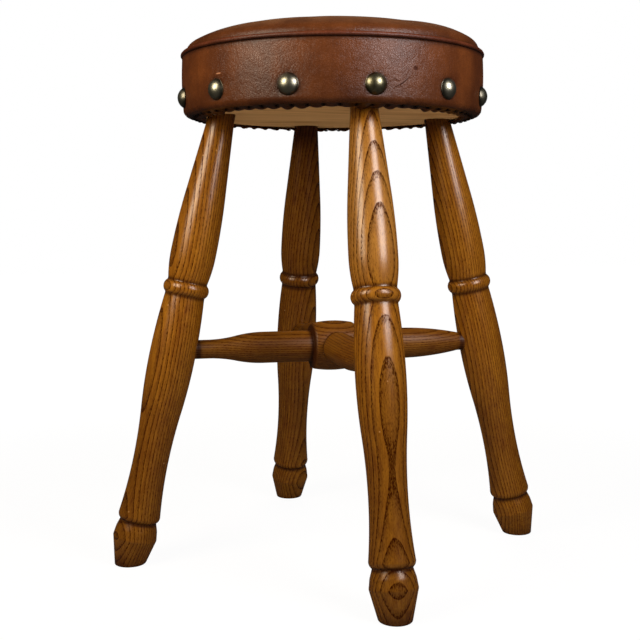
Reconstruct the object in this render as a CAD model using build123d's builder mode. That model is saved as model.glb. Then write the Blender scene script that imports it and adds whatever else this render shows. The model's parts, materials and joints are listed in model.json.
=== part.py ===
from build123d import *
import os
from math import asin, cos, degrees, radians, sin, sqrt, tan

# A round stool: a leather-covered seat on four splayed turned legs, tied by a cross of stretchers.
# Millimetres, +Z up. The origin is on the floor under the middle of the seat. The long stretcher
# lies along X, so the legs stand right (+X), back (+Y), left (-X) and front (-Y).

# Fits
joint_fit = 0.1  # glue room round a tenon, a shank or a wedge
layer_gap = 0.3  # room between one soft layer and the next
socket_end_gap = 0.5  # room past the end of a blind tenon

# Seat board, a round of softwood
seat_underside = 490.8
board_radius = 163.0
board_thickness = 37.0
board_lower_round = 6.0
board_upper_round = 2.0

# Leather cover, sewn from a top, a band and a piping
leather_thickness = 1.7
band_height = 61.2  # from the underside of the board up to the seam
seam_allowance = 7.0  # how far the sewn edges turn down inside the band
hem_leg_gap = 2.3  # from the legs to the inner edge of the hem
piping_diameter = 5.0
piping_ply = 0.8  # thickness of the thin leather round the piping cord

# Crown of the pad, three tangent arcs on the outer face of the leather
crown_rim_rise = 4.8  # from the seam up to where the crown turns down
crown_top_radius = 2940.0
crown_side_radius = 116.0
crown_rim_radius = 9.8
crown_rim_angle = 29.1  # slope in degrees where the side arc meets the rim arc
wadding_thickness = 3.0
pad_shoulder_drop = 4.0  # height over which the pad is drawn in under the seam

# Brass dome nails round the band
nail_count = 12
nail_rise = 17.2  # above the underside of the board
nail_head_diameter = 22.0
nail_head_height = 7.0
nail_head_wall = 0.9
nail_shank_radius = 1.2
nail_length = 20.0
nail_point = 4.0

# Tacks that hold the hem
tack_count = 60
tack_edge_distance = 11.5  # from the inner edge of the hem
tack_head_radius = 3.0
tack_head_height = 1.4
tack_shank_radius = 0.8
tack_length = 11.0
tack_point = 3.0

# Legs: where they stand, then their turning as radius and height along the leg from the floor
leg_angles = {"right": 0, "back": 90, "left": 180, "front": 270}
leg_inset = 39.3  # from the edge of the board to the leg's axis at the underside
leg_splay = 12.47  # degrees from upright
foot_radius = 16.5
foot_edge_round = 1.5
foot_swell_radius = 24.0
foot_swell_height = 30.0
foot_swell_bulge = 0.5
groove_radius = 19.8
groove_height = 49.0
collar_lip_radius = 22.2
collar_lip_height = 52.0
collar_radius = 23.0
collar_height = 55.0
waist_radius = 19.3
waist_height = 117.0
belly_radius = 25.0
belly_height = 232.0
neck_radius = 21.7
bead_radius = 25.0
bead_height = 310.0
bead_width = 14.0
neck_width = 2.0  # flat to each side of the bead
swell_radius = 24.6
swell_height = 349.0
taper_radius = 21.3
taper_height = 420.0
tenon_radius = 14.4
tenon_reveal = 1.0  # straight stretch of tenon that shows under the board

# Wedges in the ends of the leg tenons
wedge_head_thickness = 5.0
wedge_tip_thickness = 2.0
wedge_depth = 26.0

# Stretchers: the long one swells to a barrel hub, the two short ones are let into its sides
stretcher_height = 235.3
stretcher_tip_gap = 2.0  # from the tip of a stretcher to the leg's axis
arm_radius = 17.5
arm_neck_radius = 10.4
left_arm_length = 80.0  # straight stretch, measured from the middle of the stool
right_arm_length = 82.0
short_arm_length = 80.0
long_neck_reveal = 10.0  # neck that shows beside a leg
right_neck_reveal = 1.5
hub_radius = 28.1
hub_end_radius = 25.4
hub_half_length = 25.5
hub_end_round = 5.0
hub_seat_margin = 0.5  # depth of the shoulder's edge under the barrel's face
short_tenon_radius = 10.0
short_tenon_gap = 2.0  # between the two tenons in the middle of the hub

# Heights and radii that follow from the sizes above
board_top = seat_underside + board_thickness
seam_height = seat_underside + band_height
seam_bottom = seam_height - seam_allowance
band_inner = board_radius + layer_gap
band_outer = band_inner + leather_thickness
hem_top = seat_underside - layer_gap
hem_bottom = hem_top - leather_thickness
flange_outer = band_inner - layer_gap
flange_inner = flange_outer - 2 * piping_ply
piping_radius = piping_diameter / 2
piping_centre = (flange_inner + piping_radius, seam_height + layer_gap + piping_radius)
rim_radius = flange_inner - layer_gap
rim_height = seam_height + crown_rim_rise

splay = radians(leg_splay)
leg_top_radius = board_radius - leg_inset
leg_foot_radius = leg_top_radius + seat_underside * tan(splay)
hem_inner = leg_top_radius + tenon_radius / cos(splay) + hem_leg_gap
tack_circle = hem_inner + tack_edge_distance
tenon_start = (seat_underside - tenon_radius * sin(splay)) / cos(splay) - tenon_reveal
tenon_end = (board_top + tenon_radius) / cos(splay)

stretcher_reach = leg_foot_radius - stretcher_height * tan(splay)
stretcher_tip = stretcher_reach - stretcher_tip_gap
hub_centre = Vector(0, 0, stretcher_height)
leg_face = stretcher_reach - belly_radius / cos(splay) - arm_neck_radius * tan(splay)
hub_seat = sqrt(hub_radius**2 - arm_radius**2) - hub_seat_margin

# The crown's top arc ends where the two smaller arcs just reach the rim
rim_slope = radians(crown_rim_angle)
side_span = (crown_side_radius - crown_rim_radius) * sin(rim_slope) + crown_rim_radius
top_slope = asin((rim_radius - side_span) / (crown_top_radius - crown_side_radius))
crown_top_angle = degrees(top_slope)
top_rise = crown_top_radius - (crown_top_radius - crown_side_radius) * cos(top_slope)
crown_apex = rim_height + top_rise - (crown_side_radius - crown_rim_radius) * cos(rim_slope)


def save(piece, name):
    """Label a finished piece and write it under its name."""
    piece.part.label = name
    export_step(piece.part, f"parts/{name}.step")


def draw_crown(inset):
    """Draw the crown from its apex out to the rim, at a depth under the leather's face."""
    top = JernArc((0, crown_apex - inset), (1, 0), crown_top_radius - inset, -crown_top_angle)
    side_angle = crown_top_angle - crown_rim_angle
    side = JernArc(top @ 1, top % 1, crown_side_radius - inset, side_angle)
    rim = JernArc(side @ 1, side % 1, crown_rim_radius - inset, crown_rim_angle - 90)
    return rim @ 1


def cover_outline(inset):
    """Outline of the crown with a straight edge down to the end of the seam allowance."""
    with BuildLine() as outline:
        rim = draw_crown(inset)
        Polyline(rim, (rim.X, seam_bottom), (0, seam_bottom), (0, crown_apex - inset))
    return outline.edges()


def pad_outline(inset, side_radius):
    """Outline of the padding: a straight side on the board, drawn in under the seam to the crown."""
    draw_in = seam_bottom - layer_gap
    base = board_top + layer_gap
    with BuildLine() as outline:
        rim = draw_crown(inset)
        Polyline(
            rim,
            (rim.X, draw_in),
            (side_radius, draw_in - pad_shoulder_drop),
            (side_radius, base),
            (0, base),
            (0, crown_apex - inset),
        )
    return outline.edges()


def radial(angle):
    """Level unit vector at an angle round the stool."""
    return Vector(cos(radians(angle)), sin(radians(angle)), 0)


def leg_frame(angle):
    """Plane at the foot of a leg, with its normal up along the leg and its X outward."""
    outward = radial(angle)
    along = Vector(0, 0, cos(splay)) - outward * sin(splay)
    across = outward * cos(splay) + Vector(0, 0, sin(splay))
    return Plane(origin=outward * leg_foot_radius, x_dir=across, z_dir=along)


def upright(frame, across):
    """Plane through a leg's axis, with Y along the leg and X in a direction across it."""
    return Plane(origin=frame.origin, x_dir=across, z_dir=across.cross(frame.z_dir))


def leg_outline():
    """Outline of half the turned leg, from under the floor to above the board."""
    stub = foot_radius * tan(splay) + foot_edge_round
    stub_radius = foot_radius - stub * (foot_swell_radius - foot_radius) / foot_swell_height
    bead_low = bead_height - bead_width / 2
    bead_high = bead_height + bead_width / 2
    swell = (foot_swell_radius, foot_swell_height)
    groove = (groove_radius, groove_height)
    lip = (collar_lip_radius, collar_lip_height)
    collar = (collar_radius, collar_height)
    waist = (waist_radius, waist_height)
    belly = (belly_radius, belly_height)
    half_way = ((waist_radius + belly_radius) / 2, (waist_height + belly_height) / 2)
    low_neck = (neck_radius, bead_low - neck_width)
    high_neck = (neck_radius, bead_high + neck_width)
    upper_swell = (swell_radius, swell_height)
    taper = (taper_radius, taper_height)
    with BuildLine() as outline:
        Polyline((0, tenon_end), (0, -stub), (stub_radius, -stub), swell)
        SagittaArc(swell, groove, -foot_swell_bulge)
        Polyline(groove, lip, collar)
        TangentArc(waist, collar, tangent=(0, -1))
        rise = TangentArc(waist, half_way, tangent=(0, 1))
        TangentArc(half_way, belly, tangent=rise % 1)
        TangentArc(belly, low_neck, tangent=(0, 1))
        Line(low_neck, (neck_radius, bead_low))
        ThreePointArc((neck_radius, bead_low), (bead_radius, bead_height), (neck_radius, bead_high))
        Line((neck_radius, bead_high), high_neck)
        TangentArc(upper_swell, high_neck, tangent=(0, -1))
        TangentArc(upper_swell, taper, tangent=(0, 1))
        Polyline(taper, (tenon_radius, tenon_start), (tenon_radius, tenon_end), (0, tenon_end))
    return outline.edges()


def wedge_outline(clearance):
    """Tapered outline of a wedge along the leg's axis, grown by a clearance."""
    tip = wedge_tip_thickness / 2 + clearance
    head = wedge_head_thickness / 2 + clearance
    root = board_top / cos(splay) - wedge_depth - clearance
    with BuildLine() as outline:
        Polyline((-tip, root), (tip, root), (head, tenon_end), (-head, tenon_end), close=True)
    return outline.edges()


def stretcher_plane(outward):
    """Upright plane through the middle of the hub, with X along a stretcher."""
    return Plane(origin=hub_centre, x_dir=outward, z_dir=outward.cross(Vector(0, 0, 1)))


def draw_ogee(start, end):
    """Draw an S-curve between two points, which leaves and arrives along X."""
    middle = ((start[0] + end[0]) / 2, (start[1] + end[1]) / 2)
    first = TangentArc(start, middle, tangent=(1, 0))
    TangentArc(middle, end, tangent=first % 1)


def wedge_plane(name, frame):
    """Plane of a wedge's outline. Every wedge spreads its tenon along X, the grain of the board."""
    return upright(frame, frame.x_dir if name in ("right", "left") else frame.y_dir)


os.makedirs("parts", exist_ok=True)

# Seat board
with BuildPart() as seat_board:
    with BuildSketch(Plane.XY.offset(seat_underside)):
        Circle(board_radius)
    extrude(amount=board_thickness)
    rims = seat_board.edges().filter_by(GeomType.CIRCLE).sort_by(Axis.Z)
    fillet(rims[0], board_lower_round)
    rims = seat_board.edges().filter_by(GeomType.CIRCLE).sort_by(Axis.Z)
    fillet(rims[-1], board_upper_round)
    for angle in leg_angles.values():
        with Locations(leg_frame(angle)):
            Cylinder(
                tenon_radius + joint_fit,
                tenon_end,
                align=(Align.CENTER, Align.CENTER, Align.MIN),
                mode=Mode.SUBTRACT,
            )
    with Locations((0, 0, seat_underside + nail_rise)):
        with PolarLocations(band_outer, nail_count):
            Cylinder(
                nail_shank_radius + joint_fit,
                nail_length + socket_end_gap,
                rotation=(0, 90, 0),
                align=(Align.CENTER, Align.CENTER, Align.MAX),
                mode=Mode.SUBTRACT,
            )
    with Locations((0, 0, hem_bottom)):
        with PolarLocations(tack_circle, tack_count):
            Cylinder(
                tack_shank_radius + joint_fit,
                tack_length + socket_end_gap,
                align=(Align.CENTER, Align.CENTER, Align.MIN),
                mode=Mode.SUBTRACT,
            )
save(seat_board, "seat_board")

# Padding: a foam pad under a thin layer of wadding
wadding_inset = leather_thickness + layer_gap
wadding_inner = wadding_inset + wadding_thickness
foam_inset = wadding_inner + layer_gap
wadding_side = band_inner - layer_gap

with BuildPart() as seat_foam:
    with BuildSketch(Plane.XZ):
        make_face(pad_outline(foam_inset, wadding_side - wadding_thickness - layer_gap))
    revolve(axis=Axis.Z)
save(seat_foam, "seat_foam")

with BuildPart() as seat_wadding:
    with BuildSketch(Plane.XZ):
        make_face(pad_outline(wadding_inset, wadding_side))
        make_face(pad_outline(wadding_inner, wadding_side - wadding_thickness), mode=Mode.SUBTRACT)
    revolve(axis=Axis.Z)
save(seat_wadding, "seat_wadding")

# Leather top, with its edge turned down inside the band
with BuildPart() as leather_top:
    with BuildSketch(Plane.XZ):
        make_face(cover_outline(0))
        make_face(cover_outline(leather_thickness), mode=Mode.SUBTRACT)
    revolve(axis=Axis.Z)
save(leather_top, "leather_top")

# Leather band, folded under the board into a hem
bend_inner = board_lower_round + layer_gap
bend_outer = bend_inner + leather_thickness
bend_centre = band_inner - bend_inner
punch_length = 4 * leather_thickness
with BuildPart() as leather_band:
    with BuildSketch(Plane.XZ):
        with BuildLine():
            Polyline((band_inner, hem_top + bend_inner), (band_inner, seam_height), (band_outer, seam_height))
            Line((band_outer, seam_height), (band_outer, hem_top + bend_inner))
            RadiusArc((band_outer, hem_top + bend_inner), (bend_centre, hem_bottom), bend_outer)
            Polyline((bend_centre, hem_bottom), (hem_inner, hem_bottom), (hem_inner, hem_top))
            Line((hem_inner, hem_top), (bend_centre, hem_top))
            RadiusArc((bend_centre, hem_top), (band_inner, hem_top + bend_inner), -bend_inner)
        make_face()
    revolve(axis=Axis.Z)
    with Locations((0, 0, seat_underside + nail_rise)):
        with PolarLocations(band_outer, nail_count):
            Cylinder(
                nail_shank_radius + joint_fit,
                punch_length,
                rotation=(0, 90, 0),
                mode=Mode.SUBTRACT,
            )
    with Locations((0, 0, hem_bottom)):
        with PolarLocations(tack_circle, tack_count):
            Cylinder(tack_shank_radius + joint_fit, punch_length, mode=Mode.SUBTRACT)
save(leather_band, "leather_band")

# Piping: thin leather round a cord, with its two plies running down into the seam
piping_bore = piping_radius - piping_ply
with BuildPart() as piping_cover:
    with BuildSketch(Plane.XZ):
        with Locations(piping_centre):
            Circle(piping_radius)
        with Locations((flange_inner, seam_bottom)):
            Rectangle(
                2 * piping_ply, piping_centre[1] - seam_bottom, align=(Align.MIN, Align.MIN)
            )
        with Locations(piping_centre):
            Circle(piping_bore, mode=Mode.SUBTRACT)
    revolve(axis=Axis.Z)
save(piping_cover, "piping_cover")

with BuildPart() as piping_cord:
    with BuildSketch(Plane.XZ):
        with Locations(piping_centre):
            Circle(piping_bore - joint_fit)
    revolve(axis=Axis.Z)
save(piping_cord, "piping_cord")

# Dome nail: a thin pressed cap on a pointed shank, lying along X with the back of its cap at X = 0
cap_sphere = ((nail_head_diameter / 2) ** 2 + nail_head_height**2) / (2 * nail_head_height)
cap_centre = nail_head_height - cap_sphere
cap_inner = cap_sphere - nail_head_wall
cap_inner_rim = sqrt(cap_inner**2 - cap_centre**2)
cap_inner_root = cap_centre + sqrt(cap_inner**2 - nail_shank_radius**2)
with BuildPart() as dome_nail:
    with BuildSketch(Plane.XY):
        with BuildLine():
            RadiusArc((0, nail_head_diameter / 2), (nail_head_height, 0), cap_sphere)
            Polyline(
                (nail_head_height, 0),
                (-nail_length, 0),
                (nail_point - nail_length, nail_shank_radius),
                (cap_inner_root, nail_shank_radius),
            )
            RadiusArc((cap_inner_root, nail_shank_radius), (0, cap_inner_rim), -cap_inner)
            Line((0, cap_inner_rim), (0, nail_head_diameter / 2))
        make_face()
    revolve(axis=Axis.X)

with BuildPart() as dome_nails:
    with Locations((0, 0, seat_underside + nail_rise)):
        with PolarLocations(band_outer + joint_fit, nail_count):
            add(dome_nail.part)
save(dome_nails, "dome_nails")

# Hem tack: a low domed head under the hem and a pointed shank up into the board
tack_head_sphere = (tack_head_radius**2 + tack_head_height**2) / (2 * tack_head_height)
with BuildPart() as hem_tack:
    with BuildSketch(Plane.XZ):
        with BuildLine():
            RadiusArc((0, -tack_head_height), (tack_head_radius, 0), -tack_head_sphere)
            Polyline(
                (tack_head_radius, 0),
                (tack_shank_radius, 0),
                (tack_shank_radius, tack_length - tack_point),
                (0, tack_length),
                (0, -tack_head_height),
            )
        make_face()
    revolve(axis=Axis.Z)

with BuildPart() as hem_tacks:
    with Locations((0, 0, hem_bottom - joint_fit)):
        with PolarLocations(tack_circle, tack_count):
            add(hem_tack.part)
save(hem_tacks, "hem_tacks")

# Legs, each with a wedged tenon through the board and a blind socket for a stretcher
for name, angle in leg_angles.items():
    frame = leg_frame(angle)
    socket = Plane(
        origin=radial(angle) * (stretcher_tip + socket_end_gap) + Vector(0, 0, stretcher_height),
        z_dir=-radial(angle),
    )
    with BuildPart() as leg:
        with BuildSketch(upright(frame, frame.x_dir)):
            make_face(leg_outline())
        revolve(axis=Axis(frame.origin, frame.z_dir))
        split(bisect_by=Plane.XY, keep=Keep.TOP)
        split(bisect_by=Plane.XY.offset(board_top), keep=Keep.BOTTOM)
        fillet(leg.edges().group_by(Axis.Z)[0], foot_edge_round)
        with Locations(socket):
            Cylinder(
                arm_neck_radius + joint_fit,
                2 * belly_radius,
                align=(Align.CENTER, Align.CENTER, Align.MIN),
                mode=Mode.SUBTRACT,
            )
        with BuildSketch(wedge_plane(name, frame)):
            make_face(wedge_outline(joint_fit))
        extrude(amount=2 * tenon_radius, both=True, mode=Mode.SUBTRACT)
    save(leg, f"leg_{name}")

    with BuildPart() as wedge:
        with BuildSketch(wedge_plane(name, frame)):
            make_face(wedge_outline(0))
        extrude(amount=2 * tenon_radius, both=True)
        with Locations(frame):
            Cylinder(
                tenon_radius,
                tenon_end,
                align=(Align.CENTER, Align.CENTER, Align.MIN),
                mode=Mode.INTERSECT,
            )
        split(bisect_by=Plane.XY.offset(board_top), keep=Keep.BOTTOM)
    save(wedge, f"wedge_{name}")

# Long stretcher, from the left leg to the right leg, with the barrel hub in its middle
left_neck = leg_face - long_neck_reveal
right_neck = leg_face - right_neck_reveal
with BuildPart() as long_stretcher:
    with BuildSketch(stretcher_plane(Vector(1, 0, 0))) as turning:
        with BuildLine():
            Polyline((stretcher_tip, 0), (-stretcher_tip, 0), (-stretcher_tip, arm_neck_radius))
            Line((-stretcher_tip, arm_neck_radius), (-left_neck, arm_neck_radius))
            draw_ogee((-left_neck, arm_neck_radius), (-left_arm_length, arm_radius))
            Polyline(
                (-left_arm_length, arm_radius),
                (-hub_half_length, arm_radius),
                (-hub_half_length, hub_end_radius),
            )
            ThreePointArc(
                (-hub_half_length, hub_end_radius), (0, hub_radius), (hub_half_length, hub_end_radius)
            )
            Polyline(
                (hub_half_length, hub_end_radius),
                (hub_half_length, arm_radius),
                (right_arm_length, arm_radius),
            )
            TangentArc(
                (right_arm_length, arm_radius), (right_neck, arm_neck_radius), tangent=(1, 0)
            )
            Polyline((right_neck, arm_neck_radius), (stretcher_tip, arm_neck_radius), (stretcher_tip, 0))
        make_face()
        fillet(turning.vertices().group_by(Axis.Y)[-1], hub_end_round)
    revolve(axis=Axis(hub_centre, Vector(1, 0, 0)))
    with Locations(hub_centre):
        Cylinder(
            short_tenon_radius + joint_fit, 2 * hub_radius, rotation=(90, 0, 0), mode=Mode.SUBTRACT
        )
    for side in (-1, 1):
        with Locations((0, side * (hub_seat + hub_radius / 2), stretcher_height)):
            Cylinder(
                arm_radius + joint_fit, hub_radius, rotation=(90, 0, 0), mode=Mode.SUBTRACT
            )
save(long_stretcher, "long_stretcher")

# Short stretchers, from the hub to the front leg and the back leg
short_neck = leg_face - long_neck_reveal
shoulder = hub_seat + joint_fit
for name in ("front", "back"):
    outward = radial(leg_angles[name])
    with BuildPart() as short_stretcher:
        with BuildSketch(stretcher_plane(outward)):
            with BuildLine():
                Polyline(
                    (stretcher_tip, 0),
                    (short_tenon_gap / 2, 0),
                    (short_tenon_gap / 2, short_tenon_radius),
                    (shoulder, short_tenon_radius),
                    (shoulder, arm_radius),
                    (short_arm_length, arm_radius),
                )
                draw_ogee((short_arm_length, arm_radius), (short_neck, arm_neck_radius))
                Polyline(
                    (short_neck, arm_neck_radius), (stretcher_tip, arm_neck_radius), (stretcher_tip, 0)
                )
            make_face()
        revolve(axis=Axis(hub_centre, outward))
    save(short_stretcher, f"{name}_stretcher")
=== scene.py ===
"""Looks of a round stool: a leather seat with dome nails on four turned ash legs.

Lengths are millimetres and angles are degrees, and a mesh goes into metres when it is made.
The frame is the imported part's: +Z up, the origin on the floor under the middle of the seat,
the long stretcher along X, and the legs at right (+X), back (+Y), left (-X) and front (-Y).
"""

import json
import logging
import math
from dataclasses import dataclass, field
from enum import Enum, IntEnum
from functools import partial

import bpy
import numpy as np
from mathutils import Matrix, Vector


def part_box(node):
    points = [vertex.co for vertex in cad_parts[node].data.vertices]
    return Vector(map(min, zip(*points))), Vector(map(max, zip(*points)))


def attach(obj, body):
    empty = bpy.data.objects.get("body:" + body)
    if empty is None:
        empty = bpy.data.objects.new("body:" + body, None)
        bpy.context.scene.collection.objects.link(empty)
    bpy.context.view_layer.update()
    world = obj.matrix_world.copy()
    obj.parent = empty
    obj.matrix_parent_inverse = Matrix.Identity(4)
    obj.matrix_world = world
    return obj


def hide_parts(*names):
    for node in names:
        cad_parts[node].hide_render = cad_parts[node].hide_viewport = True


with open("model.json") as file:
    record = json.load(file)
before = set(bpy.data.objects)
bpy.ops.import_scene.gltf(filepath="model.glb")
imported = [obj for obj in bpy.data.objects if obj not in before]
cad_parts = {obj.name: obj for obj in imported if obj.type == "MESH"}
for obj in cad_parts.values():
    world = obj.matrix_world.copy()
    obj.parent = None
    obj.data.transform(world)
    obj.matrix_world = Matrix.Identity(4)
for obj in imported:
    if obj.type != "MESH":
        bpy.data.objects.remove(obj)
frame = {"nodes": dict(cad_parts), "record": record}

MM = 0.001  # one millimetre in metres
BODY = "root"  # the stool has no moving parts, so every piece rides on this one body
SOFT = {"interpolation_type": "SMOOTHSTEP"}  # a range that eases in and out
COLOUR = {"data_type": "RGBA"}  # a mix of two colours
WHITE = "ffffff"
UP = np.array([0.0, 0.0, 1.0])

Pair = tuple[float, float]
Stops = tuple[tuple[float, str], ...]

log = logging.getLogger("stool")


class Axis(IntEnum):
    """Coordinate to read from a node's box."""

    X = 0
    Y = 1
    Z = 2


class End(IntEnum):
    """End of a node's box."""

    LOW = 0
    HIGH = 1


class LegPlace(Enum):
    """Where a leg stands, as its angle round the stool."""

    RIGHT = 0
    BACK = 90
    LEFT = 180
    FRONT = 270


def reach(node: str, axis: Axis, end: End) -> float:
    """Read how far a solid of the frame reaches.

    Args:
        node: name of the solid.
        axis: coordinate to read.
        end: lowest or highest corner.

    Returns:
        The coordinate in millimetres.
    """
    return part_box(node)[end][axis] / MM


def mount_radius(name: str) -> float:
    """Distance of one of the record's mounts from the stool's middle, in millimetres."""
    found = next(mount for mount in frame["record"]["mounts"] if mount["name"] == name)
    return math.hypot(*found["pos_m"][:2]) / MM


def linear(code: str) -> tuple[float, float, float, float]:
    """Turn an sRGB hex colour into linear light.

    Args:
        code: six hex digits.

    Returns:
        Red, green, blue and a full alpha.
    """
    parts = np.array([int(code[i : i + 2], 16) for i in (0, 2, 4)]) / 255
    light = np.where(parts <= 0.04045, parts / 12.92, ((parts + 0.055) / 1.055) ** 2.4)
    return (*light.tolist(), 1.0)


def feed(tree: bpy.types.NodeTree, node: bpy.types.Node, inputs: dict) -> None:
    """Set or link a node's inputs.

    Args:
        tree: the tree that holds the node.
        node: the node to feed.
        inputs: by input name or number, a value, a hex colour, a socket, or a node whose first
            live output is linked.
    """
    for name, value in inputs.items():
        if isinstance(value, bpy.types.Node):
            value = next(socket for socket in value.outputs if socket.enabled)
        if isinstance(value, bpy.types.NodeSocket):
            tree.links.new(value, node.inputs[name])
        else:
            node.inputs[name].default_value = linear(value) if isinstance(value, str) else value


def add_node(
    tree: bpy.types.NodeTree, kind: str, inputs: dict | None = None, stops: Stops = (), **settings: object
) -> bpy.types.Node:
    """Add a node with its settings and links.

    A range takes its value at input 0, the span it comes from at 1 and 2, and the span it goes to
    at 3 and 4. A mix takes its share at 0 and its two colours at 6 and 7.

    Args:
        tree: the material's node tree.
        kind: the node's type, without its ShaderNode prefix.
        inputs: what feeds its inputs.
        stops: places and hex colours of a colour ramp.
        settings: the node's own properties.

    Returns:
        The new node.
    """
    made = tree.nodes.new("ShaderNode" + kind)
    for name, value in settings.items():
        setattr(made, name, value)
    feed(tree, made, inputs or {})
    if stops:
        elements = made.color_ramp.elements
        while len(elements) < len(stops):
            elements.new(0.5)
        for element, (place, code) in zip(elements, stops):
            element.position = place
            element.color = linear(code)
    return made


def new_material(name: str) -> tuple[bpy.types.Material, bpy.types.NodeTree, bpy.types.Node]:
    """Make an empty material.

    Args:
        name: the finish's name.

    Returns:
        The material, its tree and its Principled shader.
    """
    material = bpy.data.materials.new(name)
    material.use_nodes = True
    tree = material.node_tree
    return material, tree, tree.nodes["Principled BSDF"]


@dataclass(frozen=True)
class VarnishedAsh:
    """Ash, turned on a lathe, stained golden brown and varnished.

    A ring-porous wood: each year's ring starts with a crisp dark line of open pores that took the
    stain, and fades to smooth golden late wood. The varnish gives long bright streaks of light.
    Each layer of noise is a width and a length in the wood, with its detail and its roughness.
    """

    name: str = "varnished_ash"
    ring_spacing: float = 3.8
    pith_distance: float = 80.0
    ring_wander: float = 1.3
    wander: tuple[float, ...] = (40.0, 150.0, 4.0, 0.55)
    pore: tuple[float, ...] = (0.8, 3.0, 1.0, 0.5)  # real pores are 0.3 wide, drawn coarser to show
    fibre: tuple[float, ...] = (1.2, 45.0, 3.0, 0.5)  # real fibres are finer, drawn coarser to show
    tone: tuple[float, ...] = (25.0, 110.0, 2.0, 0.5)
    mottle: tuple[float, ...] = (6.0, 15.0, 2.0, 0.5)
    spring: Stops = ((0.0, WHITE), (0.08, "f0f0f0"), (0.19, "bcbcbc"), (0.42, "848484"))
    autumn: Stops = ((0.78, "505050"), (0.96, "383838"), (1.0, WHITE))
    late_light: str = "be7e1e"
    late_deep: str = "723a08"
    early: str = "3a1500"
    chip: str = "d8a25c"
    chip_spacing: float = 22.0
    # colour of gathered dirt and of painted shade
    grime_and_shade: str = "2a0900"
    pale: str = "dcab62"
    varnish: str = "fff9f0"
    pore_gloss: str = "6a3c18"  # open pores hardly shine
    fleck_strength: float = 0.32
    relief_depth: float = 0.25
    relief_strength: float = 0.45
    roughness: float = 0.25
    specular: float = 0.62

    def material(self) -> bpy.types.Material:
        """Build the finish from two attributes.

        grain is the place across the rings, along them and along the fibre. The second attribute is how
        much darker the wood is painted, by dirt that has gathered and by painted shade, and below zero
        how much paler the wood is.
        """
        made, tree, shader = new_material(self.name)
        node = partial(add_node, tree)
        grain = node("Attribute", attribute_name="grain").outputs["Vector"]
        hollow = node("Attribute", attribute_name="hollow").outputs["Fac"]

        layers = []
        for width, length, detail, rough in (self.wander, self.pore, self.fibre, self.tone, self.mottle):
            scale = (1 / width, 1 / width, 1 / length)
            drawn = node("VectorMath", {0: grain, 1: scale}, operation="MULTIPLY")
            noise = {"Vector": drawn, "Scale": 1.0, "Detail": detail, "Roughness": rough}
            layers.append(node("TexNoise", noise))
        wander, pore, fibre, tone, mottle = layers

        drift = node("MapRange", {0: wander, 3: -self.ring_wander, 4: self.ring_wander})
        parts = node("SeparateXYZ", {0: grain})
        across = node("Math", {0: parts.outputs[0], 1: drift}, operation="ADD")
        from_pith = node("Math", {0: across, 1: self.pith_distance}, operation="ADD")
        flat = node("CombineXYZ", {0: from_pith, 1: parts.outputs[1]})
        ring_radius = node("VectorMath", {0: flat}, operation="LENGTH")
        growth = node("Math", {0: ring_radius, 1: self.pith_distance}, operation="SUBTRACT")
        years = node("Math", {0: growth, 1: self.ring_spacing}, operation="DIVIDE")
        season = node("Math", {0: years}, operation="FRACT")
        early_wood = node("ValToRGB", {0: season}, stops=self.spring + self.autumn)
        pores = node("MapRange", {0: pore, 1: 0.36, 2: 0.64, 3: 0.56, 4: 1.2}, **SOFT)
        flecks = node("MapRange", {0: pore, 1: 0.54, 2: 0.74, 4: self.fleck_strength}, **SOFT)
        darkening = {0: early_wood, 1: pores, 2: flecks}
        stained = node("Math", darkening, operation="MULTIPLY_ADD", use_clamp=True)

        streaks = node("Math", {0: fibre, 1: 1.5, 2: tone}, operation="MULTIPLY_ADD")
        shade = node("Math", {0: mottle, 1: 0.8, 2: streaks}, operation="MULTIPLY_ADD")
        depth = node("MapRange", {0: shade, 1: 1.0, 2: 2.3})
        late = node("Mix", {0: depth, 6: self.late_deep, 7: self.late_light}, **COLOUR)
        fade = node("Math", {0: hollow, 1: -1.0}, operation="MULTIPLY", use_clamp=True)
        faded = node("Mix", {0: fade, 6: late, 7: self.pale}, **COLOUR)
        wood = node("Mix", {0: stained, 6: faded, 7: self.early}, **COLOUR)
        chips = node("TexVoronoi", {"Vector": grain, "Scale": 1 / self.chip_spacing})
        chipped = node("MapRange", {0: chips, 1: 0.03, 2: 0.06, 3: 0.75, 4: 0.0}, **SOFT)
        some = node("Math", {0: chips.outputs["Color"], 1: 0.5}, operation="GREATER_THAN")
        few = node("Math", {0: chipped, 1: some}, operation="MULTIPLY")
        knocked = node("Mix", {0: few, 6: wood, 7: self.chip}, **COLOUR)
        # dirt and painted shade darken the wood towards one dark colour
        soiled_and_shaded = node("Mix", {0: hollow, 6: knocked, 7: self.grime_and_shade}, **COLOUR)
        open_pores = node("MapRange", {0: stained, 1: 0.4, 2: 0.85})
        gloss = node("Mix", {0: open_pores, 6: self.varnish, 7: self.pore_gloss}, **COLOUR)
        relief = node("Math", {0: stained, 1: fibre}, operation="MULTIPLY")
        sunk = {"Height": relief, "Strength": self.relief_strength, "Distance": self.relief_depth * MM}
        bump = node("Bump", sunk, invert=True)
        feed(tree, shader, {"Base Color": soiled_and_shaded, "Normal": bump, "Specular Tint": gloss})
        feed(tree, shader, {"Roughness": self.roughness, "Specular IOR Level": self.specular})
        return made


@dataclass(frozen=True)
class Mark:
    """A small mark on the leather band: where it is, how large, and its colour."""

    angle: float
    height: float
    width: float
    tall: float
    tilt: float
    colour: str
    strength: float


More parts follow.
